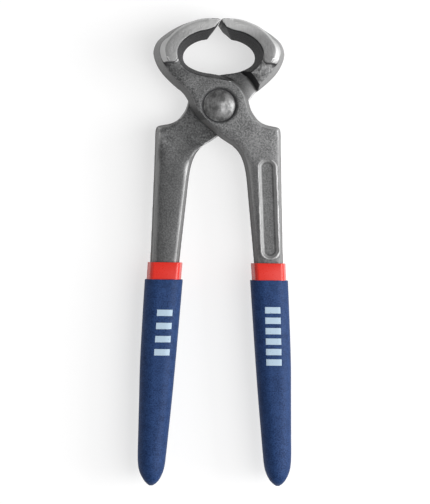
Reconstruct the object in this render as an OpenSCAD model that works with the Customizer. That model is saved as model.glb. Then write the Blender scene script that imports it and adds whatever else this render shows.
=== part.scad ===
// End cutting nippers: two identical forged halves crossing at one rivet, with a
// hard inner sleeve and a soft outer grip on each handle.
// The rivet stands on the Z axis side, the jaws point to +Y, the handles to -Y.

/* [Overall] */
// Pivot to the crown of the jaws
jaw_reach = 37.6; // [30:0.1:45]
// Pivot to the ends of the grips
handle_reach = 162.5; // [130:0.5:200]
// Middle plane to the outside of each jaw
jaw_half_width = 28.2; // [22:0.1:35]
// Middle plane to the outside of each grip
handle_spread = 33; // [26:0.5:45]

/* [Jaws] */
// Width of the jaws across the two ground faces
jaw_depth = 23; // [18:0.5:30]
// Draft of the forged flanks, in degrees
draft = 14.4; // [5:0.1:20]
// Chamfer ground along the outer corner of each ground face
face_chamfer = 1.9; // [1:0.1:3]
// Drop from a ground face to the forged surface below it
face_step = 1.6; // [0.8:0.1:3]
// Height of the lower end of a ground face above the pivot
face_foot = 17.9; // [14:0.1:22]
// Corner radius at the lower end of a ground face
face_corner = 2.2; // [1:0.1:4]
// Gap left between the two cutting edges at rest
edge_gap = 0.1; // [0.04:0.01:0.4]
// Height of the cutting edges above the pivot
edge_height = 35.95; // [30:0.05:45]
// Slope of the ground bevel behind a cutting edge, in degrees
bevel_slope = 55; // [45:0.1:75]

/* [Lap joint] */
// Thickness of one lap at the pivot
lap_thickness = 8; // [6:0.1:11]
// Gap between the two laps
lap_gap = 0.1; // [0.04:0.01:0.3]
// Radius of the round boss at the lap plane
boss_r = 13.35; // [10:0.05:17]
// Radius of the clearance pocket at the lap plane
pocket_r = 17.9; // [15:0.1:22]
// Radius of the clearance pocket at the outer face
pocket_mouth_r = 19.9; // [16:0.1:24]
// Radius at which the ramp of the pocket reaches the handle face
ramp_r = 26; // [22:0.5:32]

/* [Rivet] */
// Shank diameter
shank_d = 9; // [6:0.1:11]
// Head diameter
head_d = 13.5; // [10:0.1:17]
// Height of the domed head
head_rise = 3; // [1.5:0.1:5]
// Diameter of the shallow seat round a head
seat_d = 15.2; // [12:0.1:20]
// Depth of the seat
seat_depth = 0.7; // [0.3:0.1:1.5]
// Radial running clearance of the turning half
turn_fit = 0.05; // [0.01:0.01:0.1]
// Radial clearance of the half that holds the rivet
hold_fit = 0.02; // [0:0.01:0.1]

/* [Handles] */
// Thickness of a handle just below the shoulder
handle_thickness = 11; // [8:0.1:14]
// Thickness of a handle where it enters the sleeve
throat_thickness = 9.5; // [7:0.1:12]
// Thickness at the end of the hidden tang
tang_thickness = 8.5; // [6:0.1:12]
// Depth of the long recess on one face of each handle
recess_depth = 1; // [0.4:0.1:1.2]
// Width of the recess
recess_w = 7.5; // [5:0.1:9]
// Distance from the pivot to the upper round of the recess
recess_start = 26.3; // [22:0.1:32]
// Length of the recess between its end rounds
recess_run = 35; // [20:0.5:38]

/* [Sleeves and grips] */
// Distance from the pivot to the top of the inner sleeve
sleeve_top = 67; // [60:0.5:75]
// Distance from the pivot to the top of the outer grip
grip_top = 74.3; // [68:0.5:85]
// Half thickness of the sleeve
sleeve_half = 5.75; // [5:0.05:8]
// Half thickness of the grip
grip_half = 6.7; // [6:0.05:9]
// Corner radius of the sleeve section
sleeve_corner = 1.6; // [1:0.1:3]
// Corner radius of the grip section
grip_corner = 4.4; // [2:0.1:5]
// Clearance between steel, sleeve and grip
sleeve_fit = 0.05; // [0.02:0.01:0.2]

/* [Hidden] */
$fn = 96;

// One overrun for every cut that has to pass a face
over = 1;
mid_z = jaw_depth / 2;
pivot_y = (handle_reach - jaw_reach) / 2;
lap_z = mid_z + lap_thickness;
draft_rate = tan(draft);
handle_rise = handle_thickness / 2;
fine_fn = 32;

// Run of a recess wall as a share of its depth
flare_share = 1.5;

// Share by which the sides of the sleeve and of the grip lean in toward the faces
sleeve_lean = 0.2;
grip_lean = 0.05;

// Share of the half depth over which a handle keeps its draft
handle_depth_share = handle_rise / mid_z;

// Distances from the pivot between which the draft of a handle fades out
fade_near = boss_r * 1.2;
fade_far = boss_r * 1.65;

// Outer line of the jaw from the cutting edge to the side of the lap, as shares of
// jaw_half_width and jaw_reach, then the share of the draft and of the chamfer
crown_shares = [
    [-0.227, 0.895, 0.40, 0],
    [-0.176, 0.938, 0.20, 0],
    [-0.085, 0.946, 0.10, 0],
    [-0.004, 0.961, 0.05, 0],
    [0.025, 0.983, 0.15, 0],
    [0.078, 0.994, 0.26, 0],
    [0.177, 1.000, 0.33, 0],
    [0.301, 0.991, 0.33, 0],
    [0.426, 0.965, 0.35, 0],
    [0.567, 0.926, 0.40, 0],
    [0.709, 0.870, 0.55, 0.05],
    [0.840, 0.803, 0.75, 0.35],
    [0.943, 0.731, 0.85, 0.80],
    [0.993, 0.649, 0.90, 1],
    [1.000, 0.585, 0.92, 1],
    [0.975, 0.511, 0.95, 1],
    [0.922, 0.426, 1, 0.90],
    [0.844, 0.346, 1, 0.50],
    [0.681, 0.229, 1, 0],
    [0.553, 0.144, 1, 0]
];

// Side of the lap from the jaw down to the crotch, as shares of boss_r
web_shares = [
    [-1.004, 0.172],
    [-0.930, -0.015],
    [-0.779, -0.273],
    [-0.584, -0.502],
    [-0.322, -0.712],
    [-0.097, -0.899],
    [0.112, -1.056]
];

// Inner line of the handle from the crotch to the end of the tang, as shares of
// handle_spread and handle_reach
inner_shares = [
    [0.133, 0.098],
    [0.227, 0.111],
    [0.291, 0.128],
    [0.339, 0.153],
    [0.370, 0.185],
    [0.394, 0.232],
    [0.436, 0.316],
    [0.482, 0.411],
    [0.530, 0.554],
    [0.574, 0.677],
    [0.615, 0.775],
    [0.661, 0.880],
    [0.694, 0.932],
    [0.748, 0.960]
];

// Outer line of the handle from the end of the tang up to the shoulder, as shares
// of handle_spread and handle_reach
outer_shares = [
    [0.821, 0.968],
    [0.891, 0.955],
    [0.930, 0.923],
    [0.939, 0.862],
    [0.939, 0.775],
    [0.932, 0.677],
    [0.903, 0.542],
    [0.868, 0.412],
    [0.850, 0.308],
    [0.833, 0.194],
    [0.824, 0.127],
    [0.8205, 0.090],
    [0.8165, 0.0665],
    [0.800, 0.0551],
    [0.758, 0.0517]
];
shoulder_share = 0.642;

// Hollow between the shoulder and the round of the boss: share of the way out from
// the boss to the shoulder, then height as a share of boss_r
hollow_shares = [
    [1.00, -0.577],
    [0.63, -0.487],
    [0.34, -0.307],
    [0.11, -0.090],
    [0.00, 0.120]
];

// Angles at which the round of the boss is marked off
boss_angles = [20, 35, 50, 65, 78];

// Inside of the mouth from the boss round to the tip, as shares of jaw_half_width
// and jaw_reach
mouth_shares = [
    [0.000, 0.362],
    [0.106, 0.375],
    [0.230, 0.388],
    [0.333, 0.407],
    [0.457, 0.449],
    [0.528, 0.500],
    [0.546, 0.548],
    [0.535, 0.604],
    [0.472, 0.670],
    [0.365, 0.723],
    [0.271, 0.750],
    [0.188, 0.761],
    [0.092, 0.787],
    [0.000, 0.814],
    [-0.106, 0.824],
    [-0.191, 0.848]
];

// Inner sleeve: shares of handle_reach, of handle_spread for its inner and outer
// line, and of sleeve_half
sleeve_shares = [
    [0.4572, 0.462, 0.908, 1.00],
    [0.554, 0.498, 0.932, 1.01],
    [0.677, 0.547, 0.958, 1.00],
    [0.775, 0.588, 0.962, 0.98],
    [0.874, 0.633, 0.970, 0.96],
    [0.923, 0.661, 0.967, 0.94],
    [0.951, 0.688, 0.952, 0.92],
    [0.969, 0.727, 0.924, 0.83],
    [0.980, 0.776, 0.885, 0.63],
    [0.985, 0.806, 0.858, 0.38]
];

// Outer grip: shares of handle_reach, of handle_spread for its inner and outer
// line, and of grip_half
grip_shares = [
    [0.4572, 0.438, 0.932, 1.00],
    [0.554, 0.474, 0.957, 1.01],
    [0.677, 0.521, 0.983, 1.00],
    [0.775, 0.562, 0.990, 0.99],
    [0.874, 0.608, 0.997, 0.97],
    [0.923, 0.632, 1.000, 0.95],
    [0.951, 0.650, 0.991, 0.93],
    [0.969, 0.677, 0.966, 0.88],
    [0.985, 0.719, 0.923, 0.76],
    [0.994, 0.759, 0.886, 0.56],
    [1.000, 0.800, 0.850, 0.26]
];

// Part to be drawn

// Curves
function chord(p, q) = norm([q[0] - p[0], q[1] - p[1]]);

function slope_at(p, q, r) =
    let (a = chord(p, q), b = chord(q, r))
    ((q - p) / a * b + (r - q) / b * a) / (a + b);

function on_curve(p, q, u, v, t) =
    p * (2 * t * t * t - 3 * t * t + 1)
    + u * (t * t * t - 2 * t * t + t)
    + q * (3 * t * t - 2 * t * t * t)
    + v * (t * t * t - t * t);

// Smooth closed line through marked points, each stretch cut in the given steps
function closed_curve(marks, steps) =
    let (n = len(marks))
    [for (i = [0 : n - 1])
        let (
            o = marks[(i + n - 1) % n],
            p = marks[i],
            q = marks[(i + 1) % n],
            r = marks[(i + 2) % n],
            d = chord(p, q),
            u = slope_at(o, p, q) * d,
            v = slope_at(p, q, r) * d
        )
        for (j = [0 : steps - 1]) on_curve(p, q, u, v, j / steps)];

// Smooth open line through marked stations
function open_curve(marks, steps) =
    let (n = len(marks))
    concat(
        [for (i = [0 : n - 2])
            let (
                o = marks[max(i - 1, 0)],
                p = marks[i],
                q = marks[i + 1],
                r = marks[min(i + 2, n - 1)],
                d = q[0] - p[0],
                u = (i == 0) ? q - p : (q - o) / (q[0] - o[0]) * d,
                v = (i == n - 2) ? q - p : (r - p) / (r[0] - p[0]) * d
            )
            for (j = [0 : steps - 1]) on_curve(p, q, u, v, j / steps)],
        [marks[n - 1]]
    );

// Outline of one forged half at the middle plane
function clamp_share(v) = min(max(v, 0), 1);

// Depth share of a point: full on the jaw and the boss, less on the handle
function depth_share(x, y) =
    y > 0 ? 1
    : 1 - (1 - handle_depth_share)
        * clamp_share((norm([x, y]) - fade_near) / (fade_far - fade_near));

// The flanks lean a little more toward the sleeve
function lean_share(y) =
    1 + 0.4 * clamp_share((-y / handle_reach - 0.18) / 0.23);

function mark(x, y, lean, chamfer) = [x, y, lean, depth_share(x, y), chamfer];

half_marks = concat(
    [for (s = crown_shares)
        mark(-s[0] * jaw_half_width, s[1] * jaw_reach, s[2], s[3])],
    [for (s = web_shares) mark(s[0] * boss_r, s[1] * boss_r, 1, 0)],
    [for (s = concat(inner_shares, outer_shares))
        mark(s[0] * handle_spread, -s[1] * handle_reach,
            lean_share(-s[1] * handle_reach), 0)],
    [for (s = hollow_shares)
        mark(boss_r + s[0] * (handle_spread * shoulder_share - boss_r),
            s[1] * boss_r, 1, 0)],
    [for (a = boss_angles) mark(boss_r * cos(a), boss_r * sin(a), 1, 0)],
    [for (s = mouth_shares)
        mark(-s[0] * jaw_half_width, s[1] * jaw_reach, 1, 0)]
);

half_curve = closed_curve(half_marks, 2);

// Unit direction into the metal at each point of the curve
function inward(curve) =
    let (n = len(curve))
    [for (i = [0 : n - 1])
        let (
            p = curve[(i + n - 1) % n],
            q = curve[(i + 1) % n],
            d = [q[0] - p[0], q[1] - p[1]]
        )
        [-d[1], d[0]] / norm(d)];

half_inward = inward(half_curve);

// Distance a flank stands inside the middle line at height h
function inset(p, h, chamfer) =
    draft_rate * p[2] * min(abs(h), p[3] * mid_z) + chamfer * p[4];

function ring_at(curve, normals, h, chamfer, grow) =
    [for (i = [0 : len(curve) - 1])
        let (e = inset(curve[i], h, chamfer) - grow)
        [curve[i][0] + normals[i][0] * e, curve[i][1] + normals[i][1] * e, mid_z + h]];

// Skins
// Closed solid over rings that hold the same number of points
module skin(rings) {
    n = len(rings[0]);
    m = len(rings);
    sides = [for (k = [0 : m - 2]) for (i = [0 : n - 1]) for (h = [0 : 1])
        h == 0
            ? [k * n + i, (k + 1) * n + i, (k + 1) * n + (i + 1) % n]
            : [k * n + i, (k + 1) * n + (i + 1) % n, k * n + (i + 1) % n]];
    bottom = [[for (i = [0 : n - 1]) i]];
    top = [[for (i = [0 : n - 1]) m * n - 1 - i]];
    polyhedron(
        points = [for (r = rings) for (p = r) p],
        faces = concat(sides, bottom, top),
        convexity = 6
    );
}

// Drafted body of a half, full jaw depth everywhere
module forged_block() {
    low = mid_z - face_chamfer;
    skin([
        ring_at(half_curve, half_inward, -mid_z, face_chamfer, 0),
        ring_at(half_curve, half_inward, -low, 0, 0),
        ring_at(half_curve, half_inward, -handle_rise, 0, 0),
        ring_at(half_curve, half_inward, 0, 0, 0),
        ring_at(half_curve, half_inward, handle_rise, 0, 0),
        ring_at(half_curve, half_inward, low, 0, 0),
        ring_at(half_curve, half_inward, mid_z, face_chamfer, 0)
    ]);
}

// Thickness of the forging seen from its side, before the faces are ground
module side_profile(grow) {
    ease_y = lap_thickness * 0.6;
    level_y = boss_r * 1.5;
    jaw_y = boss_r * 0.7;
    pad_z = mid_z - face_step;
    upper = [
        [jaw_reach + over, pad_z + grow],
        [face_foot + face_corner, pad_z + grow],
        [jaw_y, lap_thickness + grow],
        [-ease_y, lap_thickness + grow],
        [-level_y, handle_rise + grow],
        [-sleeve_top, throat_thickness / 2 + grow],
        [-handle_reach - 2 * over, tang_thickness / 2 + grow]
    ];
    lower = [for (i = [len(upper) - 1 : -1 : 0]) [upper[i][0], -upper[i][1]]];
    translate([0, 0, mid_z])
        rotate([90, 0, 90])
            linear_extrude(height = 5 * handle_spread, center = true)
                polygon(concat(upper, lower));
}

// Everything outside the forged thickness, from the rounded foot of the ground
// faces downward
module face_relief() {
    inner_x = jaw_half_width * 0.64;
    outer_x = jaw_half_width * 0.945;
    outer_corner = face_corner * 0.7;
    line_y = face_foot + face_corner * 1.3;
    wide = 2 * handle_spread;
    inner_arc = [for (a = [0 : 15 : 90])
        [-inner_x - face_corner * (1 - cos(a)), face_foot + face_corner * (1 - sin(a))]];
    outer_arc = [for (a = [90 : -15 : 0])
        [-outer_x + outer_corner * (1 - cos(a)), face_foot + outer_corner * (1 - sin(a))]];
    difference() {
        translate([0, 0, -over])
            linear_extrude(height = jaw_depth + 2 * over)
                polygon(concat(
                    [[-wide, -handle_reach - over], [wide, -handle_reach - over]],
                    [[wide, line_y], [-inner_x, line_y]],
                    inner_arc,
                    outer_arc,
                    [[-outer_x, line_y], [-wide, line_y]]
                ));
        side_profile(0);
    }
}

// Room for the boss of the other half, on the rear side of this one
module clearance_pocket() {
    deep = mid_z + lap_gap / 2;
    ramp_rate = (ramp_r - pocket_r) / (mid_z - (mid_z - handle_rise));
    ramp_h = mid_z;
    translate([0, 0, -over])
        cylinder(
            h = deep + over,
            r1 = pocket_mouth_r + (pocket_mouth_r - pocket_r) * over / mid_z,
            r2 = pocket_r
        );
    intersection() {
        translate([0, 0, deep - ramp_h])
            cylinder(h = ramp_h, r1 = pocket_r + ramp_rate * ramp_h, r2 = pocket_r);
        rotate([0, 0, -135])
            translate([-2 * ramp_r, 0, -over])
                cube([4 * ramp_r, 4 * ramp_r, deep + over]);
    }
}

// Room beside the cutting edge: the ground bevel and the plane between the jaws
module bevel_cut() {
    fall = edge_height - jaw_reach * 0.71;
    run = fall / tan(bevel_slope);
    far_x = jaw_half_width / 2;
    top_y = jaw_reach + over;
    low_y = edge_height - fall;
    translate([0, 0, -over])
        linear_extrude(height = jaw_depth + 2 * over)
            polygon([
                [-edge_gap / 2, top_y],
                [-edge_gap / 2, edge_height],
                [-edge_gap / 2 - run, low_y],
                [far_x, low_y],
                [far_x, top_y]
            ]);
}

// Long shallow recess with round ends and sloping walls on the front of the handle
module handle_recess() {
    end_r = recess_w / 2;
    flare = recess_depth * flare_share;
    start_x = handle_spread * 0.634;
    end_x = handle_spread * 0.686;
    end_y = recess_start + recess_run;
    fall = (handle_thickness - throat_thickness) / 2;
    start_z = mid_z + handle_rise - fall * 0.13;
    end_z = mid_z + handle_rise - fall * 0.88;
    hull() {
        translate([start_x, -recess_start, start_z - recess_depth])
            cylinder(h = 2 * recess_depth, r1 = end_r - flare, r2 = end_r + flare,
                $fn = fine_fn);
        translate([end_x, -end_y, end_z - recess_depth])
            cylinder(h = 2 * recess_depth, r1 = end_r - flare, r2 = end_r + flare,
                $fn = fine_fn);
    }
}

// Forged and ground body before drilling, held to the exact depth of the jaws
module blank() {
    resize([0, 0, jaw_depth])
        difference() {
            forged_block();
            face_relief();
            clearance_pocket();
            bevel_cut();
            handle_recess();
        }
}

// One forged half in the place of the front half: jaw at -X, handle at +X
module forging(bore_fit) {
    difference() {
        blank();
        translate([0, 0, lap_z - seat_depth])
            cylinder(h = seat_depth + over, d = seat_d);
        translate([0, 0, mid_z - over])
            cylinder(h = lap_thickness + 2 * over, r = shank_d / 2 + bore_fit);
    }
}

// Hidden tang, sleeve and grip forms
tang_from = -sleeve_top * 0.75;
tang_curve = [for (p = half_curve) if (p[1] < tang_from) p];
tang_inward = [for (i = [0 : len(half_curve) - 1])
    if (half_curve[i][1] < tang_from) half_inward[i]];

module tang_form(grow) {
    intersection() {
        skin([
            ring_at(tang_curve, tang_inward, -handle_rise, 0, grow),
            ring_at(tang_curve, tang_inward, 0, 0, grow),
            ring_at(tang_curve, tang_inward, handle_rise, 0, grow)
        ]);
        side_profile(grow);
    }
}

// Rounded rectangle, half sizes a and b, whose sides lean in toward its faces
function round_box(a, b, r, lean, steps) =
    [for (q = [0 : 3]) for (j = [0 : steps])
        let (
            t = q * 90 + j * 90 / steps,
            sa = (q == 0 || q == 3) ? 1 : -1,
            sb = q < 2 ? 1 : -1,
            u = sa * (a - r) + r * cos(t)
        )
        [u, (sb * (b - r) + r * sin(t)) * (1 - lean * abs(u) / a)]];

// Section of a sleeve or grip: the box, with a mark at the widest place of each side
function section(a, b, r, lean, steps) =
    let (ring = round_box(a, b, r, lean, steps), side = steps + 1)
    concat(
        [for (i = [0 : side - 1]) ring[i]],
        [[0, b]],
        [for (i = [side : 3 * side - 1]) ring[i]],
        [[0, -b]],
        [for (i = [3 * side : 4 * side - 1]) ring[i]]
    );

// Body over stations along the handle; the end nearest the pivot may be moved
module handle_form(shares, half, corner, lean, top, grow, steps) {
    marks = [for (s = shares)
        [s[0] * handle_reach, s[1] * handle_spread, s[2] * handle_spread, s[3] * half]];
    line = open_curve(marks, 2);
    n = len(line);
    first = line[0];
    lead = (top - first[0]) / (line[1][0] - first[0]);
    placed = concat([first + (line[1] - first) * lead],
        [for (i = [1 : n - 1]) line[i]]);
    rings = [for (i = [n - 1 : -1 : 0])
        let (
            s = placed[i],
            b = (s[2] - s[1]) / 2 + grow,
            a = s[3] + grow,
            r = min(corner + grow, min(a, b) * 0.96),
            x = (s[1] + s[2]) / 2,
            y = -s[0] - (i == n - 1 ? grow : 0)
        )
        [for (p = section(a, b, r, lean, steps)) [x + p[1], y, mid_z + p[0]]]];
    skin(rings);
}

module sleeve_form(top, grow) {
    handle_form(sleeve_shares, sleeve_half, sleeve_corner, sleeve_lean, top, grow, 4);
}

// Pieces in the place of the front half, pivot on the Z axis
module sleeve_piece() {
    difference() {
        sleeve_form(sleeve_top, 0);
        tang_form(sleeve_fit);
    }
}

module grip_piece() {
    difference() {
        handle_form(grip_shares, grip_half, grip_corner, grip_lean, grip_top, 0, 6);
        sleeve_form(sleeve_top, sleeve_fit);
    }
}

// The other half is the same piece turned over about the long axis
module turned_over() {
    translate([0, 0, jaw_depth])
        rotate([0, 180, 0])
            children();
}

module in_place() {
    translate([0, pivot_y, 0])
        children();
}

// Domed head of the rivet standing on the given height
module rivet_head(base_z) {
    head_r = head_d / 2;
    dome_r = (head_r * head_r + head_rise * head_rise) / (2 * head_rise);
    translate([0, 0, base_z])
        intersection() {
            translate([0, 0, head_rise - dome_r])
                sphere(r = dome_r);
            cylinder(h = head_rise + over, d = head_d);
        }
}

// Nodes
module front_half() {
    color([0.40, 0.41, 0.43])
        in_place()
            forging(turn_fit);
}

module rear_half() {
    color([0.36, 0.37, 0.39])
        in_place()
            turned_over()
                forging(hold_fit);
}

module rivet() {
    base_z = lap_z - seat_depth + turn_fit;
    rear_base_z = jaw_depth - lap_z + seat_depth;
    color([0.50, 0.51, 0.53])
        in_place() {
            rivet_head(base_z);
            translate([0, 0, jaw_depth])
                rotate([0, 180, 0])
                    rivet_head(jaw_depth - rear_base_z);
            translate([0, 0, rear_base_z])
                cylinder(h = base_z - rear_base_z, d = shank_d);
        }
}

module front_sleeve() {
    color([0.85, 0.20, 0.15])
        in_place()
            sleeve_piece();
}

module rear_sleeve() {
    color([0.85, 0.20, 0.15])
        in_place()
            turned_over()
                sleeve_piece();
}

module front_grip() {
    color([0.16, 0.26, 0.52])
        in_place()
            grip_piece();
}

module rear_grip() {
    color([0.16, 0.26, 0.52])
        in_place()
            turned_over()
                grip_piece();
}

rear_half();
front_half();
rivet();
rear_sleeve();
front_sleeve();
rear_grip();
front_grip();
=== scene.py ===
import math

import bmesh
import bpy
import numpy as np
from mathutils import Matrix, Vector, noise


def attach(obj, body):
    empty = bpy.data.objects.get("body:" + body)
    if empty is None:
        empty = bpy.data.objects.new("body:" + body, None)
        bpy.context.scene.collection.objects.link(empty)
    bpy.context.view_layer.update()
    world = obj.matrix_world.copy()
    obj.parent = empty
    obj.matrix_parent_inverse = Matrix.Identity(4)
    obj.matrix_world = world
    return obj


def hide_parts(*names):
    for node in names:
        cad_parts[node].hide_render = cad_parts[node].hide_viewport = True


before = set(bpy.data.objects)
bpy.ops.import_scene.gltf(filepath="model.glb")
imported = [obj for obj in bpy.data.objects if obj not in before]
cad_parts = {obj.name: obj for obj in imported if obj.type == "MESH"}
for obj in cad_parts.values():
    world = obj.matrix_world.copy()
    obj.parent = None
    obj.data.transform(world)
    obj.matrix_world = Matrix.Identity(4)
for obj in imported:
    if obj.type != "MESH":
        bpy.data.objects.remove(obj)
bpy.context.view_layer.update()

mm = 0.001

# The two forged halves. Each is one drop forging in tool steel: jaw, lap, handle
# and tang. The skin keeps the grain of the die and the tumbling barrel, and only
# the jaw faces, their chamfers and the cutting bevels are ground bright.

jaw_depth = 23 * mm
mid_z = jaw_depth / 2
pivot_y = 62.45 * mm

# Heights above the pivot and half sizes of the jaw's parts
face_foot = 17.9 * mm
foot_step = 18 * mm
mouth_rise = 22.5 * mm
mouth_wide = 17.6 * mm
mouth_high = 11.6 * mm
mouth_rim = 1 * mm
bevel_rise = 27 * mm
bevel_wide = 7 * mm
tip_rise = 29 * mm
tip_wide = 5 * mm

# Reach from the pivot to the rivet head, its seat, the lap's edge and the ramp's crest
head_r = 6.75 * mm
seat_reach = 9 * mm
lap_reach = 17.8 * mm
crest_reach = 26 * mm
ramp_slope = 0.636
ramp_ease = 6 * mm

# Levels, as distances from the middle plane
lap_level = 3 * mm
recess_level = 3.6 * mm
handle_level = 5 * mm
boss_level = 6 * mm
pad_level = 8.6 * mm
foot_level = 9.6 * mm
face_level = 11.15 * mm

# The long recess: where its end rounds lie below the pivot, and its leaning line
recess_start = 26.3 * mm
recess_run = 35 * mm
recess_half = 3.75 * mm
recess_line = 20.9 * mm
recess_lean = 0.048

# Where the handle begins below the pivot, how far it takes to be whole, and how
# freely the skins fall away at four distances, the first two above the pivot
handle_start = 3 * mm
handle_blend = 6 * mm
crown_at = np.array((-18, -16, 12, 24)) * mm
crown_share = (0.12, 0.28, 0.28, 0.85)
rub_passes = 9
crown_passes = 150
full_burnish_and_highlight = 0.75 * mm
proud_reach = 0.9 * mm
full_proud = 0.1 * mm

die_wave = 5 * mm
die_ripple = 1.6 * mm
wave_deep = 0.05 * mm
ripple_deep = 0.02 * mm

# Heights above the pivot where marks of use and making, painted light and painted shade begin
# or end
crotch_top = -10 * mm
lap_low = -7 * mm
neck_low = -6 * mm
pocket_low = -4 * mm
pad_low = 5 * mm
rim_low = 8 * mm
lap_top = 16 * mm
worn_and_highlight_top = 17 * mm

# Tones: the skin in its pits and between them, on the lap's side and outside, the
# wheel's lines, then plain greys from scale to rim, among them painted shade in creases,
# along the seam, on shaded flanks and with the black scale, and painted highlight on the
# worn, burnished and rubbed edges; the front half's face and chamfer are painted lighter
# and the rear half's darker, as painted light and shade on the two jaws
inner_pit = (0.018, 0.0185, 0.019)
inner_skin = (0.128, 0.129, 0.130)
outer_pit = (0.050, 0.050, 0.051)
outer_skin = (0.235, 0.236, 0.237)
polished_line = (0.42, 0.42, 0.415)
scale_and_shade_black = (0.020, 0.020, 0.022)
crease_shade_grey = 0.03
seam_and_shade_grey = 0.05
shade_grey = 0.06
bevel_grey = 0.12
trim_grey = 0.16
trim_line_grey = 0.24
polished_grey = 0.29
scuff_and_highlight_grey = 0.33
wall_grey = 0.36
worn_and_highlight_grey = 0.45
burnish_and_highlight_grey = 0.50
rim_highlight_and_rub_grey = 0.62
front_face_painted_light, front_chamfer_painted_light = 0.19, 0.50
rear_face_painted_shade, rear_chamfer_painted_shade = 0.12, 0.38


def fine_copy(node, name, voxel):
    """A copy of a CAD half with a close, even mesh."""
    piece = bpy.data.objects.new(name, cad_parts[node].data.copy())
    bpy.context.scene.collection.objects.link(piece)
    shell = bmesh.new()
    shell.from_mesh(piece.data)
    bmesh.ops.remove_doubles(shell, verts=shell.verts, dist=0.001 * mm)
    shell.to_mesh(piece.data)
    shell.free()
    piece.data.materials.clear()

    fine = piece.modifiers.new("fine", "REMESH")
    fine.mode = "VOXEL"
    fine.voxel_size = voxel
    fine.use_smooth_shade = True
    bpy.context.view_layer.update()
    seen = piece.evaluated_get(bpy.context.evaluated_depsgraph_get())
    mesh = bpy.data.meshes.new_from_object(seen)
    piece.modifiers.clear()
    piece.data = mesh
    return piece


def rows_of(values, kind):
    """Three numbers for each point of a mesh, as rows."""
    flat = np.empty(len(values) * 3)
    values.foreach_get(kind, flat)
    return flat.reshape(-1, 3)


def lay_out(mesh, at):
    """Moves the points of a mesh to these places."""
    mesh.vertices.foreach_set("co", at.ravel())
    mesh.update()


def mark(mesh, name, values):
    """Keeps one number for each point, for the finish to read."""
    kept = mesh.attributes.new(name, "FLOAT", "POINT")
    kept.data.foreach_set("value", values.astype(np.float32))


def neighbour_mean(mesh):
    """A function that averages any value over each point's neighbours."""
    ends = np.empty(len(mesh.edges) * 2, int)
    mesh.edges.foreach_get("vertices", ends)
    first, second = ends.reshape(-1, 2).T
    both = np.concatenate([first, second])
    other = np.concatenate([second, first])
    count = len(mesh.vertices)
    neighbours = np.maximum(np.bincount(both, minlength=count), 1)
    return lambda values: np.bincount(both, values[other], count) / neighbours


def rub(mesh, outward, voxel):
    """Rounds the edges, eases the ramp, crowns the skins and marks the edges and creases for
    wear, burnish, painted highlight and painted shade.
    """
    at = rows_of(mesh.vertices, "co")
    mean_of = neighbour_mean(mesh)
    from_middle = np.abs(at[:, 2] - mid_z)
    up = at[:, 1] - pivot_y

    # Outer edges are rounded by the barrel, the cutting edges and the rims of the
    # mouth, the seat and the recess stay crisp
    wide, high = mouth_wide + mouth_rim, mouth_high + mouth_rim
    in_mouth = np.hypot(at[:, 0] / wide, (up - mouth_rise) / high) < 1
    at_tip = (up > tip_rise) & (np.abs(at[:, 0]) < tip_wide)
    at_foot = (from_middle > foot_level) & (np.abs(up - foot_step) < 2 * mm)
    at_seat = np.hypot(at[:, 0], up) < seat_reach
    down = -up - recess_start
    off_line = np.abs(np.abs(at[:, 0]) - recess_line - down * recess_lean)
    past_end = np.maximum(np.maximum(-down, down - recess_run), 0)
    off_recess = np.hypot(off_line, past_end) - recess_half
    off_recess[(at[:, 2] - mid_z) * outward < 0] = np.inf
    softness = np.full(len(at), 0.5)
    softness[off_recess < 0.6 * mm] = 0.1
    softness[in_mouth | at_seat | at_foot] = 0.14
    softness[at_tip] = 0.05
    for _ in range(rub_passes):
        for axis in range(3):
            at[:, axis] += (mean_of(at[:, axis]) - at[:, axis]) * softness

    # The ramp beside the lap eases into the handle
    on_handle = np.clip((-up - handle_start) / handle_blend, 0, 1)
    crest = ramp_ease - np.abs(np.hypot(at[:, 0], up) - crest_reach)
    dip = ramp_slope * np.maximum(crest, 0) ** 2 / (4 * ramp_ease)
    dip *= on_handle * ((at[:, 2] - mid_z) * outward < 0)
    dip *= np.clip(from_middle / handle_level, 0, 1)
    at[:, 2] -= np.sign(at[:, 2] - mid_z) * dip

    # The skins fall away toward their edges, as on every drop forging, most of all
    # down the handles
    crown = np.interp(-up, crown_at, crown_share)
    crown[in_mouth | at_seat | at_foot | at_tip] = 0
    crown *= np.clip((off_recess - 0.3 * mm) / (1.2 * mm), 0, 1)
    off_lap = np.clip((from_middle - 0.5 * mm) / (1.5 * mm), 0, 1)
    crown *= on_handle * off_lap + (1 - on_handle) * (from_middle > boss_level)
    flat_z = at[:, 2].copy()
    for _ in range(crown_passes):
        at[:, 2] += (mean_of(at[:, 2]) - at[:, 2]) * crown
    mark(mesh, "burnish_and_highlight", np.clip(np.abs(at[:, 2] - flat_z) / full_burnish_and_highlight, 0, 1))
    lay_out(mesh, at)

    # How far each point stands proud of its surroundings, kept for the worn edges with their
    # painted highlight and for the painted shade in creases
    out = rows_of(mesh.vertex_normals, "vector")
    spread = at.copy()
    for _ in range(round(proud_reach / voxel) + 1):
        spread = np.stack([mean_of(spread[:, axis]) for axis in range(3)], 1)
    proud = ((at - spread) * out).sum(1) / full_proud
    proud[in_mouth & (up < tip_rise)] *= 0.3
    proud[at_seat] = 0
    mark(mesh, "proud", np.clip(proud, -1, 1))


def wave(mesh):
    """Low waves left by the die, always inward and none on the ground faces."""
    at = rows_of(mesh.vertices, "co")
    out = rows_of(mesh.vertex_normals, "vector")
    waves = [noise.noise(Vector(point) / die_wave) for point in at]
    ripples = [noise.noise(Vector(point) / die_ripple) for point in at]
    from_middle = np.abs(at[:, 2] - mid_z)
    ground = (from_middle > foot_level - 0.4 * mm) & (at[:, 1] > pivot_y + face_foot)
    kept = ground | (from_middle < 0.6 * mm)
    sink = (np.array(waves) + 1) / 2 * wave_deep + (np.array(ripples) + 1) / 2 * ripple_deep
    at -= out * np.where(kept, 0, sink)[:, None]
    hair = 0.001 * mm
    at[:, 2] = np.clip(at[:, 2], hair, jaw_depth - hair)
    lay_out(mesh, at)


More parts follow.
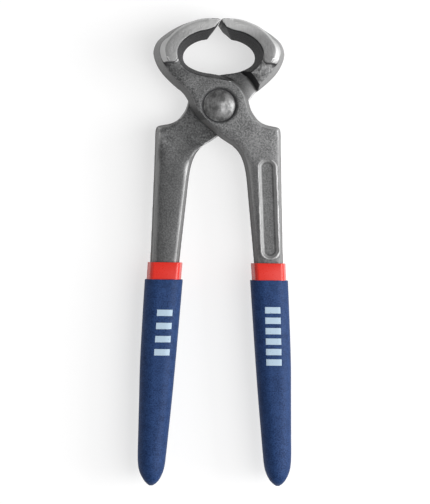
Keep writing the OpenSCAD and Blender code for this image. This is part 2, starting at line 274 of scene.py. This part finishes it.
class Wire:
    """One value in a shader tree; sums on it lay their own Math nodes."""

    def __init__(self, tree, socket):
        self.tree, self.socket = tree, socket

    def maths(self, operation, *values):
        node = self.tree.nodes.new("ShaderNodeMath")
        node.operation = operation
        for place, value in enumerate(values):
            if isinstance(value, Wire):
                self.tree.links.new(value.socket, node.inputs[place])
            else:
                node.inputs[place].default_value = value
        return Wire(self.tree, node.outputs[0])

    def __add__(self, other):
        return self.maths("ADD", self, other)

    def __radd__(self, other):
        return self.maths("ADD", other, self)

    def __sub__(self, other):
        return self.maths("SUBTRACT", self, other)

    def __rsub__(self, other):
        return self.maths("SUBTRACT", other, self)

    def __mul__(self, other):
        return self.maths("MULTIPLY", self, other)

    def __rmul__(self, other):
        return self.maths("MULTIPLY", other, self)

    def __truediv__(self, other):
        return self.maths("DIVIDE", self, other)

    def __neg__(self):
        return self.maths("MULTIPLY", self, -1.0)

    def __abs__(self):
        return self.maths("ABSOLUTE", self)

    def __gt__(self, other):
        return self.maths("GREATER_THAN", self, other)

    def __lt__(self, other):
        return self.maths("LESS_THAN", self, other)

    def root(self):
        return self.maths("SQRT", self)

    def high(self, other):
        return self.maths("MAXIMUM", self, other)

    def other_outs(self, *names):
        """The named outputs of the node that this value comes from."""
        outs = self.socket.node.outputs
        return [Wire(self.tree, outs[name]) for name in names]


class Finish:
    """A surface finish in the making: add() lays every node but the sums."""

    def __init__(self, name, **constants):
        self.material = bpy.data.materials.new(name)
        self.material.use_nodes = True
        self.tree = self.material.node_tree
        self.shader = self.tree.nodes["Principled BSDF"]
        for socket, value in constants.items():
            self.shader.inputs[socket.replace("_", " ")].default_value = value

    def add(self, kind, settings=None, values=None, out=0):
        node = self.tree.nodes.new("ShaderNode" + kind)
        for key, value in (settings or {}).items():
            setattr(node, key, value)
        for key, value in (values or {}).items():
            if isinstance(value, Wire):
                self.tree.links.new(value.socket, node.inputs[key])
            else:
                node.inputs[key].default_value = value
        return Wire(self.tree, node.outputs[out])

    def place(self):
        """Position on the piece, riding with it, and its three parts."""
        spot = self.add("TexCoord", out="Object")
        parts = self.add("SeparateXYZ", values={"Vector": spot})
        return spot, *parts.other_outs("X", "Y", "Z")

    def drawn_out(self, spot, turn, share):
        """Position turned by that angle and drawn out, for marks along one line."""
        values = {"Vector": spot, "Rotation": (0, 0, turn), "Scale": (1, share, 1)}
        return self.add("Mapping", values=values)

    def grain(self, spot, size, detail=3, rough=0.55):
        """Noise of that grain size in metres, from 0 to 1."""
        values = {"Vector": spot, "Scale": 1 / size, "Detail": detail, "Roughness": rough}
        return self.add("TexNoise", values=values)

    def ease(self, value, start, end):
        """0 below start, 1 above end, smooth between."""
        values = {"Value": value, "From Min": start, "From Max": end}
        return self.add("MapRange", {"interpolation_type": "SMOOTHSTEP"}, values)

    def tint(self, share, one, two):
        """A colour that goes from one to two with share."""
        node = self.add("Mix", {"data_type": "RGBA"}, {"Factor": share}).socket.node
        for name, shade in (("A", one), ("B", two)):
            socket = [s for s in node.inputs if s.name == name and s.type == "RGBA"][0]
            if isinstance(shade, Wire):
                self.tree.links.new(shade.socket, socket)
            else:
                socket.default_value = (*shade, 1)
        return Wire(self.tree, [s for s in node.outputs if s.type == "RGBA"][0])

    def bump(self, height, strength, distance, under=None):
        values = {"Height": height, "Strength": strength, "Distance": distance}
        if under:
            values["Normal"] = under
        return self.add("Bump", values=values)

    def wear(self, **sockets):
        """Lets surface-wide maths feed these sockets of the shader."""
        for socket, wire in sockets.items():
            self.tree.links.new(wire.socket, self.shader.inputs[socket.replace("_", " ")])
        return self.material


def grey(share):
    return (share, share, share)


class ForgedSteel(Finish):
    """The finish of one half, and where on the forging its parts lie."""

    def __init__(self, name, outward):
        super().__init__(name)
        self.in_front = outward > 0
        self.spot, self.x, y, z = self.place()
        lie = self.add("SeparateXYZ", values={"Vector": self.add("TexCoord", out="Normal")})
        self.sideways, self.upward, self.facing = lie.other_outs("X", "Y", "Z")
        self.up = y - pivot_y
        self.across = self.x * -outward
        self.reach = (self.x * self.x + self.up * self.up).root()
        self.from_middle = abs(z - mid_z)
        self.lap_side = (z - mid_z) * -outward > 0
        self.open_side = self.facing * -outward > 0.3
        self.upright = 1 - self.ease(abs(self.facing), 0.42, 0.6)
        mouth_x = self.x / mouth_wide
        mouth_y = (self.up - mouth_rise) / mouth_high
        self.mouth = mouth_x * mouth_x + mouth_y * mouth_y
        self.in_mouth = 1 - self.ease(self.mouth, 0.9, 1.05)
        self.speckle = self.grain(self.spot, 0.75 * mm, 4, 0.66)
        self.lines = self.grain(self.drawn_out(self.spot, 0.5, 0.1), 0.3 * mm, 2)
        self.find_ground()
        self.find_scale_and_shade()

    def find_ground(self):
        """Ground where the wheel reached: jaw faces, their chamfers and bevels."""
        at_jaw = self.ease(self.up, face_foot - 0.2 * mm, face_foot + 0.1 * mm)
        flat = self.ease(self.from_middle, face_level, face_level + 0.2 * mm)
        sloped = self.ease(self.from_middle, foot_level - 0.2 * mm, foot_level + 0.2 * mm)
        sloped = sloped * (1 - self.upright) * (1 - self.in_mouth)
        bevel = (self.up > bevel_rise) * (abs(self.x) < bevel_wide)
        bevel = bevel * (self.sideways * self.x < 0)
        self.bevel = bevel * (1 - self.ease(abs(self.facing), 0.88, 0.96))
        rim = 1 - self.ease(self.mouth, 1.05, 1.16)
        self.rim = rim * (1 - self.ease(abs(self.facing), 0.93, 0.98))
        self.chamfer = sloped * (1 - flat)
        self.ground = (at_jaw * flat.high(sloped)).high(self.bevel) * (1 - self.rim)

    def find_scale_and_shade(self):
        """Black scale and painted shade: the mouth's walls and upper rim and the pocket's wall
        are painted black as shade, the step under the foot of a ground face keeps scale and is
        painted black for its shade as well, and a thin ring of scale round the rivet head fades
        out into the head's painted shadow."""
        under_face = self.ease(-self.upward, 0.25, 0.6)
        under_face = under_face * (self.from_middle > foot_level - 0.8 * mm)
        under_face = under_face * (abs(self.up - face_foot + 0.4 * mm) < 2 * mm)
        inward = self.sideways * self.x + self.upward * self.up < 0
        in_pocket = (self.reach > lap_reach - 0.5 * mm) * (self.reach < lap_reach + 2.5 * mm)
        in_pocket = in_pocket * (self.from_middle < foot_level + 0.2 * mm)
        in_pocket = in_pocket * (self.up > pocket_low) * self.upright * inward * self.lap_side
        off_head = self.reach - head_r
        round_head = (off_head > -0.35 * mm) * (off_head < 0.55 * mm)
        round_head = round_head.high((1 - self.ease(off_head, 0.15 * mm, 1.85 * mm)) * 0.6)
        round_head = round_head * (self.from_middle > boss_level)
        scale = (self.in_mouth * self.upright).high(under_face).high(in_pocket)
        scale = (scale * (1 - self.ground)).high(round_head)
        self.scale = scale.high(self.rim * (self.up > rim_low))

    def tumbled_skin(self):
        """Pitted dark skin, lighter on the side away from the lap, less so near the pivot and
        far down the handle, and not up on the jaw.
        """
        cloud = self.grain(self.spot, 9 * mm, 2)
        pits = self.ease(self.speckle * 0.8 + cloud * 0.2, 0.3, 0.7)
        calm = self.ease(-self.up, 8 * mm, 30 * mm) * 0.45
        pits = pits * (1 - calm) + calm * 0.5
        dark = self.tint(pits, inner_pit, inner_skin)
        light = self.tint(pits, outer_pit, outer_skin)
        outside = (1 - self.open_side) * (1 - self.ease(self.up, 6 * mm, 14 * mm))
        outside = outside * (1 - self.ease(-self.up, 20 * mm, 30 * mm) * 0.5)
        outside = outside * (self.ease(self.reach, 9 * mm, 20 * mm) * 0.45 + 0.55)
        return self.tint(outside, dark, light)

    def scuffed_and_highlit(self):
        """How far the pad beside the pocket and the open end of the lap are rubbed, the pad
        also painted lighter towards its outer edge as a painted highlight.
        """
        strokes = self.grain(self.drawn_out(self.spot, -0.5, 0.22), 0.8 * mm, 3, 0.6)
        strokes = self.ease(strokes, 0.42, 0.62)
        at_pad = (self.from_middle > pad_level) * (self.up > pad_low) * (self.across > 0)
        # The pad's strokes of rubbing, and a painted highlight growing towards its outer edge
        at_pad = at_pad * (strokes * 0.6 + self.ease(self.across, 16 * mm, 23 * mm) * 0.4)
        at_lap = (self.from_middle < lap_level) * (self.reach < lap_reach)
        at_lap = at_lap * (self.up > lap_low) * (self.up < lap_top)
        at_lap = at_lap * self.ease(self.across, 9 * mm, 17 * mm)
        at_slope = (self.from_middle < pad_level) * (self.up > pad_low)
        at_slope = at_slope * (self.reach > lap_reach) * strokes * 0.35
        return at_pad.high(at_lap).high(at_slope) * self.open_side

    def recess_wall(self):
        """The sloping wall of the long recess, cleaned by the barrel."""
        down = -self.up - recess_start
        off_line = abs(abs(self.x) - recess_line - down * recess_lean)
        past_end = (-down).high(down - recess_run).high(0)
        off_line = (off_line * off_line + past_end * past_end).root()
        wall = (off_line < recess_half + 0.05 * mm) * (self.from_middle > recess_level)
        return wall * (1 - self.ease(abs(self.facing), 0.75, 0.97)) * (1 - self.open_side)

    def wheel_grey(self):
        """The wheel's polish, best at the tips and fading down the jaw. The front half's face
        and chamfer are painted lighter and the rear half's darker, as painted light and shade
        on the two jaws.
        """
        dull = front_face_painted_light if self.in_front else rear_face_painted_shade
        chamfer = front_chamfer_painted_light if self.in_front else rear_chamfer_painted_shade
        polish = self.ease(self.up, tip_rise - 1 * mm, tip_rise + 6 * mm)
        bright_lines = self.tint(self.lines, grey(polished_grey), polished_line)
        dull_lines = self.tint(self.lines, grey(dull), grey(dull + 0.09))
        wheel = self.tint(polish, dull_lines, bright_lines)
        wheel = self.tint(self.chamfer, wheel, grey(chamfer))
        return self.tint(self.bevel, wheel, grey(bevel_grey))

    def trimmed_grey(self):
        """The sheared flanks, with painted shade on the inner flanks between the handles and on
        the front half's neck under its jaw.
        """
        trimmed = self.tint(self.lines, grey(trim_grey), grey(trim_line_grey))
        painted_shade = (self.sideways * self.x < 0) * (self.up < crotch_top) * 0.4
        if self.in_front:
            neck = (self.up > neck_low) * (1 - self.ease(self.up, 10 * mm, 22 * mm))
            painted_shade = painted_shade.high(neck * 0.6)
        return self.tint(painted_shade, trimmed, grey(shade_grey))


def forged_steel(name, outward):
    steel = ForgedSteel(name, outward)
    ground, scale, up = steel.ground, steel.scale, steel.up
    proud = steel.add("Attribute", {"attribute_name": "proud"}, out="Fac")
    burnish_and_highlight = steel.add("Attribute", {"attribute_name": "burnish_and_highlight"}, out="Fac")
    # Burnished where the crowned skins fall away, and painted lighter there as a highlight on
    # the rounded edges
    burnish_and_highlight = steel.ease(burnish_and_highlight, 0.45, 1.5) * (1 - scale)
    # Worn edges, painted lighter also as the highlight that rounded edges catch
    worn_and_highlit = steel.ease(proud, 0.25, 0.8)
    # Painted shade darkens the creases and hollows
    crease_shade = steel.ease(-proud, 0.12, 0.6)
    flank = steel.upright * (1 - scale)
    # A dark band along the parting line at the middle of each flank, partly painted shade where
    # the flank turns under
    seam_and_shade = (1 - steel.ease(steel.from_middle, 1.0 * mm, 2.6 * mm)) * steel.upright
    seam_and_shade = seam_and_shade * (steel.ease(-up, 0, 4 * mm) * 0.55 + 0.2)
    # The ground faces' outer rims, rubbed, and painted bright as their highlight
    outward_lie = steel.sideways * steel.x + steel.upward * (up - mouth_rise)
    rubbed_and_highlit_rim = worn_and_highlit * ground * (1 - steel.bevel) * (steel.upward > -0.1)
    rubbed_and_highlit_rim = rubbed_and_highlit_rim * steel.ease(outward_lie, 0, 3 * mm)

    colour = steel.tint(steel.scuffed_and_highlit(), steel.tumbled_skin(), grey(scuff_and_highlight_grey))
    colour = steel.tint(steel.recess_wall() * 0.8, colour, grey(wall_grey))
    colour = steel.tint(flank, colour, steel.trimmed_grey())
    colour = steel.tint(burnish_and_highlight * 0.9, colour, grey(burnish_and_highlight_grey))
    colour = steel.tint(seam_and_shade, colour, grey(seam_and_shade_grey))
    colour = steel.tint(crease_shade * 0.7, colour, grey(crease_shade_grey))
    colour = steel.tint(worn_and_highlit * 0.8 * (up < worn_and_highlight_top), colour, grey(worn_and_highlight_grey))
    # Black scale, and black painted shade in the mouth, in the pocket, under the feet and round
    # the rivet head
    colour = steel.tint(scale, colour, scale_and_shade_black)
    colour = steel.tint(ground, colour, steel.wheel_grey())
    colour = steel.tint(rubbed_and_highlit_rim, colour, grey(rim_highlight_and_rub_grey))
    return steel.wear(
        Base_Color=colour,
        Metallic=0.45 - ground * 0.05 - flank * (1 - burnish_and_highlight) * 0.2 + burnish_and_highlight * 0.4,
        Roughness=0.54 - ground * 0.14 - worn_and_highlit * 0.06 - burnish_and_highlight * 0.12,
        Normal=steel.bump(
            steel.lines, 0.1, 0.02 * mm, under=steel.bump(steel.speckle, 1.0, 0.2 * mm)
        ),
    )


voxel = 0.32 * mm
for node, body, outward in (("rear_half", "rear", -1), ("front_half", "front", 1)):
    forging = fine_copy(node, body + "_forging", voxel)
    rub(forging.data, outward, voxel)
    wave(forging.data)
    forging.data.materials.append(forged_steel(body + "_forged_steel", outward))
    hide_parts(node)
    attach(forging, body)

# The rivet. A soft steel pin driven through both laps and headed at each end with
# a domed set; it is tight in the rear half and the front half turns on it. The set
# leaves small flats and rub marks on the domes.

head_rise = 3 * mm
front_seat = 18.85 * mm
rear_seat = 4.2 * mm
shank_r = 4.5 * mm
lip = 0.35 * mm
lip_round = 0.15 * mm
dent_size = 2.4 * mm
dent_deep = 0.09 * mm
unrubbed_grey = 0.085
rubbed_grey = 0.27
dome_steps = 14
ring_steps = 72


def dome():
    """(radius, height) pairs over a rivet head, from its middle to its seat."""
    sphere_r = (head_r**2 + head_rise**2) / (2 * head_rise)
    pairs = []
    for i in range(dome_steps):
        radius = head_r * math.sin(math.radians(90) * i / dome_steps)
        pairs.append((radius, math.sqrt(sphere_r**2 - radius**2) - sphere_r + head_rise))
    pairs.append((head_r - lip_round, lip))
    pairs.append((head_r, lip * 0.4))
    pairs.append((head_r - 0.1 * mm, 0))
    return pairs


def turned(name, profile):
    """A lathe-turned shell from (radius, height) pairs on the rivet's axis."""
    shell = bmesh.new()
    rings = []
    for radius, height in profile:
        ring = []
        for i in range(ring_steps if radius else 1):
            turn = 2 * math.pi * i / ring_steps
            y = pivot_y + radius * math.sin(turn)
            ring.append(shell.verts.new((radius * math.cos(turn), y, height)))
        rings.append(ring)
    for lower, upper in zip(rings, rings[1:]):
        for i in range(ring_steps):
            j = (i + 1) % ring_steps
            if len(lower) == 1:
                shell.faces.new((lower[0], upper[j], upper[i]))
            elif len(upper) == 1:
                shell.faces.new((lower[i], lower[j], upper[0]))
            else:
                shell.faces.new((lower[i], lower[j], upper[j], upper[i]))
    return shown(name, shell)


def shown(name, shell):
    """A smooth object in the scene from a closed shell."""
    bmesh.ops.recalc_face_normals(shell, faces=shell.faces)
    mesh = bpy.data.meshes.new(name)
    shell.to_mesh(mesh)
    shell.free()
    for face in mesh.polygons:
        face.use_smooth = True
    piece = bpy.data.objects.new(name, mesh)
    bpy.context.scene.collection.objects.link(piece)
    return piece


def headed_steel():
    pin = Finish("headed_steel")
    spot, x, y, z = pin.place()
    marks = pin.grain(pin.drawn_out(spot, 0.9, 0.2), 0.7 * mm, 3)
    blotch = pin.grain(spot, 2.6 * mm, 3)
    polish = pin.ease(blotch * 0.7 + marks * 0.3, 0.35, 0.68)
    return pin.wear(
        Base_Color=pin.tint(polish, grey(unrubbed_grey), grey(rubbed_grey)),
        Metallic=polish * 0.1 + 0.55,
        Roughness=0.51 - polish * 0.06,
        Normal=pin.bump(marks, 0.25, 0.05 * mm),
    )


front_head = [(r, front_seat + h) for r, h in dome()]
rear_head = [(r, rear_seat - h) for r, h in dome()]
shank = [(shank_r, front_seat), (shank_r, rear_seat)]
rivet = turned("rivet_pin", front_head + shank + rear_head[::-1])
for vertex in rivet.data.vertices:
    if vertex.co.z > front_seat + lip or vertex.co.z < rear_seat - lip:
        dent = noise.noise(vertex.co / dent_size) * 0.5 + 0.5
        vertex.co.z -= dent * dent_deep * (1 if vertex.co.z > mid_z else -1)
rivet.data.update()
rivet.data.materials.append(headed_steel())
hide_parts("rivet")
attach(rivet, "rear")

# The inner sleeves. Each is a hard, glossy red plastic moulding pushed over the
# tang, with flat faces, leaning sides and a crisp top edge. A short band of it
# shows above the grip.

handle_reach = 162.5 * mm
handle_spread = 33 * mm
sleeve_top = 67 * mm
sleeve_half = 5.75 * mm
sleeve_corner = 1.6 * mm
sleeve_lean = 0.2
sleeve_rim = 0.18 * mm
tang_corner = 0.2 * mm
tang_lean = 0.27
bore_gap = 0.06 * mm
corner_steps = 10
deep_red = (0.53, 0.017, 0.009)
flow_red = (0.60, 0.023, 0.013)

# Shares of reach, of spread at the inner and the outer line, and of half thickness
sleeve_shares = (
    (0.4572, 0.462, 0.908, 1.00),
    (0.554, 0.498, 0.932, 1.01),
    (0.677, 0.547, 0.958, 1.00),
    (0.775, 0.588, 0.962, 0.98),
    (0.874, 0.633, 0.970, 0.96),
    (0.923, 0.661, 0.967, 0.94),
    (0.951, 0.688, 0.952, 0.92),
    (0.969, 0.727, 0.924, 0.83),
    (0.980, 0.776, 0.885, 0.63),
    (0.985, 0.806, 0.858, 0.38),
)
tang_shares = (
    (0.400, 0.478, 0.866, 0.826),
    (0.554, 0.534, 0.908, 0.81),
    (0.677, 0.574, 0.932, 0.80),
    (0.775, 0.615, 0.939, 0.79),
    (0.862, 0.655, 0.939, 0.78),
    (0.923, 0.688, 0.930, 0.77),
    (0.952, 0.728, 0.898, 0.76),
    (0.964, 0.775, 0.860, 0.74),
)


def stations(shares, half, top, steps):
    """Smooth rows of (reach, inner line, outer line, half thickness) in metres."""
    marks = np.array(shares) * (handle_reach, handle_spread, handle_spread, half)
    marks[0] += (marks[1] - marks[0]) * (top - marks[0, 0]) / (marks[1, 0] - marks[0, 0])
    slopes = np.empty_like(marks)
    slopes[1:-1] = (marks[2:] - marks[:-2]) / (marks[2:, :1] - marks[:-2, :1])
    slopes[0] = (marks[1] - marks[0]) / (marks[1, 0] - marks[0, 0])
    slopes[-1] = (marks[-1] - marks[-2]) / (marks[-1, 0] - marks[-2, 0])
    rows = []
    for i in range(len(marks) - 1):
        run = marks[i + 1, 0] - marks[i, 0]
        for j in range(steps):
            t = j / steps
            rows.append(
                marks[i] * (2 * t**3 - 3 * t**2 + 1)
                + slopes[i] * run * (t**3 - 2 * t**2 + t)
                + marks[i + 1] * (3 * t**2 - 2 * t**3)
                + slopes[i + 1] * run * (t**3 - t**2)
            )
    rows.append(marks[-1])
    for row in rows:
        row[2] = min(row[2], handle_spread)
    return rows


def section(row, corner, lean, grow, flip):
    """One ring of points round the handle at a station."""
    reach, inner, outer, half = row
    side, face = (outer - inner) / 2 + grow, half + grow
    corner = min(max(corner + grow, 0.1 * mm), min(side, face) * 0.96)
    ring = []
    for quarter in range(4):
        for step in range(corner_steps + 1):
            turn = math.radians(quarter * 90 + step * 90 / corner_steps)
            up = (face - corner) * (1 if quarter in (0, 3) else -1) + corner * math.cos(turn)
            out = (side - corner) * (1 if quarter < 2 else -1) + corner * math.sin(turn)
            out *= 1 - lean * abs(up) / face
            ring.append(((inner + outer) / 2 + out, pivot_y - reach, mid_z + up))
        if quarter in (0, 2):
            out = side if quarter == 0 else -side
            ring.append(((inner + outer) / 2 + out, pivot_y - reach, mid_z))
    return [(-x, y, jaw_depth - z) if flip else (x, y, z) for x, y, z in ring]


def sheath(name, outer_rows, inner_rows, outer_shape, inner_shape, rim, flip):
    """A closed shell: up the outside from the blind end, over the rim, down the bore."""
    rings = [section(row, *outer_shape, 0, flip) for row in outer_rows[:0:-1]]
    for drop, back in ((1, 0), (0.3, 0.3), (0, 1)):
        row = np.array(outer_rows[0])
        row[0] += rim * drop
        rings.append(section(row, *outer_shape, -rim * back, flip))
    for row in inner_rows:
        rings.append(section(row, *inner_shape, bore_gap, flip))

    shell = bmesh.new()
    rows = [[shell.verts.new(point) for point in ring] for ring in rings]
    for upper, lower in zip(rows, rows[1:]):
        for i in range(len(upper)):
            j = (i + 1) % len(upper)
            shell.faces.new((upper[i], upper[j], lower[j], lower[i]))
    shell.faces.new(rows[0])
    shell.faces.new(rows[-1])
    return shown(name, shell)


def red_plastic(name):
    plastic = Finish(name, IOR=1.5, Specular_IOR_Level=0.36)
    spot, x, y, z = plastic.place()
    flow = plastic.grain(spot, 7 * mm, 2)
    dust = plastic.grain(spot, 0.5 * mm, 3)
    return plastic.wear(
        Base_Color=plastic.tint(flow, deep_red, flow_red),
        Roughness=0.22 + dust * 0.14,
        Normal=plastic.bump(flow * 0.7 + dust * 0.3, 0.08, 0.1 * mm),
    )


for side, flip in (("rear", True), ("front", False)):
    sleeve = sheath(
        side + "_red_sleeve",
        stations(sleeve_shares, sleeve_half, sleeve_top, 6),
        stations(tang_shares, sleeve_half, sleeve_top, 6),
        (sleeve_corner, sleeve_lean),
        (tang_corner, tang_lean),
        sleeve_rim,
        flip,
    )
    sleeve.data.materials.append(red_plastic(side + "_red_plastic"))
    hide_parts(side + "_sleeve")
    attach(sleeve, side)

# The outer grips. A softer blue plastic is moulded over each sleeve, thicker and
# rounder, closed to a blunt point at the end. Its skin has the fine grain of the
# mould, and each front face carries a pad-printed row of plain pale marks.

grip_top = 74.3 * mm
grip_half = 6.7 * mm
grip_corner = 5.7 * mm
grip_lean = 0.05
grip_rim = 0.22 * mm
pit_blue = (0.005, 0.018, 0.064)
skin_blue = (0.022, 0.054, 0.155)
pale_ink = (0.36, 0.46, 0.55)
grip_shares = (
    (0.4572, 0.438, 0.932, 1.00),
    (0.554, 0.474, 0.957, 1.01),
    (0.677, 0.521, 0.983, 1.00),
    (0.775, 0.562, 0.990, 0.99),
    (0.874, 0.608, 0.997, 0.97),
    (0.923, 0.632, 1.000, 0.95),
    (0.951, 0.650, 0.991, 0.93),
    (0.969, 0.677, 0.966, 0.88),
    (0.985, 0.719, 0.923, 0.76),
    (0.994, 0.759, 0.886, 0.56),
    (1.000, 0.800, 0.850, 0.26),
)

# Each row of printed bars: its line from the tool's axis at print_start, that line's
# lean, the first bar's distance from the pivot, the pitch and the number of bars
print_start = 84 * mm
bar_high = 2.7 * mm
bar_wide = 6.6 * mm
rear_print = (22.0 * mm, 0.06, 88.5 * mm, 5.6 * mm, 4)
front_print = (23.7 * mm, 0.035, 87.0 * mm, 4.45 * mm, 6)


def printed_bars(plastic, x, y, z, flip):
    """1 on the printed bars of a grip's front face, 0 elsewhere."""
    line, lean, first, pitch, bars = rear_print if flip else front_print
    along = pivot_y - y
    across = (-x if flip else x) - line - (along - print_start) * lean
    marks = 0
    for step in range(bars):
        off_bar = abs(along - first - pitch * step)
        marks = (off_bar < bar_high / 2).high(marks)
    marks = marks * (abs(across) < bar_wide / 2)
    return marks * plastic.ease(z, mid_z, mid_z + 1 * mm)


def blue_plastic(name, flip):
    plastic = Finish(name, IOR=1.5, Specular_IOR_Level=0.13)
    spot, x, y, z = plastic.place()
    grain = plastic.grain(spot, 0.55 * mm, 3, 0.6)
    mottle = plastic.grain(spot, 3.5 * mm, 3)
    fine = plastic.ease(grain * 0.75 + mottle * 0.25, 0.32, 0.68)
    blue = plastic.tint(fine, pit_blue, skin_blue)
    ink = printed_bars(plastic, x, y, z, flip) * plastic.ease(grain, 0.22, 0.36)
    return plastic.wear(
        Base_Color=plastic.tint(ink, blue, pale_ink),
        Roughness=0.50 + grain * 0.1 - ink * 0.08,
        Normal=plastic.bump(grain, 0.35, 0.09 * mm),
    )


for side, flip in (("rear", True), ("front", False)):
    grip = sheath(
        side + "_blue_grip",
        stations(grip_shares, grip_half, grip_top, 8),
        stations(sleeve_shares, sleeve_half, grip_top, 8),
        (grip_corner, grip_lean),
        (sleeve_corner, sleeve_lean),
        grip_rim,
        flip,
    )
    grip.data.materials.append(blue_plastic(side + "_blue_plastic", flip))
    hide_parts(side + "_grip")
    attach(grip, side)

# The studio. A white sweep under the tool, a soft box high to the right, a second
# one low beside it, a weak fill to the left and a dim room, with the camera high
# over the tool and a little to its left.

sweep_half = 1.5
sweep_glow = 0.62
room_light = 0.30
lit_spot = Vector((0, 0.02, 0.01))
camera_at = Vector((-52.7, 1.15, 901.5)) * mm
camera_aim = Vector((-0.77, 0.05, 11.5)) * mm
camera_top = Vector((-0.01105, 1, 0))
camera_view = math.radians(13.83)


def white_paper():
    """Pale paper that looks nearly white to the camera and gives no more light."""
    paper = Finish("paper", Roughness=0.9, Specular_IOR_Level=0.1)
    paper.shader.inputs["Base Color"].default_value = (0.95, 0.95, 0.95, 1)
    ray = paper.add("LightPath", out="Is Camera Ray")
    seen = ray
    for other in ray.other_outs("Is Glossy Ray", "Is Transmission Ray"):
        seen = seen.high(other)
    glow = paper.add("Emission", values={"Color": (1, 1, 1, 1), "Strength": 1.0})
    diffuse = Wire(paper.tree, paper.shader.outputs[0])
    mixed = paper.add("MixShader", values={"Fac": seen * sweep_glow, 1: diffuse, 2: glow})
    surface = paper.tree.nodes["Material Output"].inputs[0]
    paper.tree.links.new(mixed.socket, surface)
    return paper.material


def soft_box(name, at, size, watts):
    lamp = bpy.data.lights.new(name, "AREA")
    lamp.shape = "RECTANGLE"
    lamp.size, lamp.size_y = size
    lamp.energy = watts
    holder = bpy.data.objects.new(name, lamp)
    bpy.context.scene.collection.objects.link(holder)
    holder.location = at
    holder.rotation_euler = (lit_spot - Vector(at)).to_track_quat("-Z", "Y").to_euler()


corners = [(x * sweep_half, y * sweep_half, 0) for x, y in ((-1, -1), (1, -1), (1, 1), (-1, 1))]
sweep_mesh = bpy.data.meshes.new("sweep")
sweep_mesh.from_pydata(corners, [], [(0, 1, 2, 3)])
sweep = bpy.data.objects.new("sweep", sweep_mesh)
bpy.context.scene.collection.objects.link(sweep)
sweep.data.materials.append(white_paper())

soft_box("key", (0.50, -0.10, 0.87), (0.75, 0.75), 8.0)
soft_box("side", (0.92, 0.02, 0.42), (0.7, 0.5), 10.0)
soft_box("fill", (-0.80, 0.20, 0.50), (0.8, 0.6), 1.2)

room = bpy.data.worlds.new("room")
bpy.context.scene.world = room
room.use_nodes = True
room.node_tree.nodes["Background"].inputs["Color"].default_value = (1, 1, 1, 1)
room.node_tree.nodes["Background"].inputs["Strength"].default_value = room_light

camera = bpy.data.objects.new("camera", bpy.data.cameras.new("camera"))
bpy.context.scene.collection.objects.link(camera)
forward = (camera_aim - camera_at).normalized()
right = forward.cross(camera_top).normalized()
turn = Matrix((right, right.cross(forward), -forward)).transposed().to_4x4()
camera.matrix_world = Matrix.Translation(camera_at) @ turn
camera.data.sensor_width = 36
camera.data.lens = camera.data.sensor_width / (2 * math.tan(camera_view / 2))
camera.data.clip_start, camera.data.clip_end = 0.05, 10
bpy.context.scene.camera = camera
bpy.context.scene.view_settings.view_transform = "Standard"
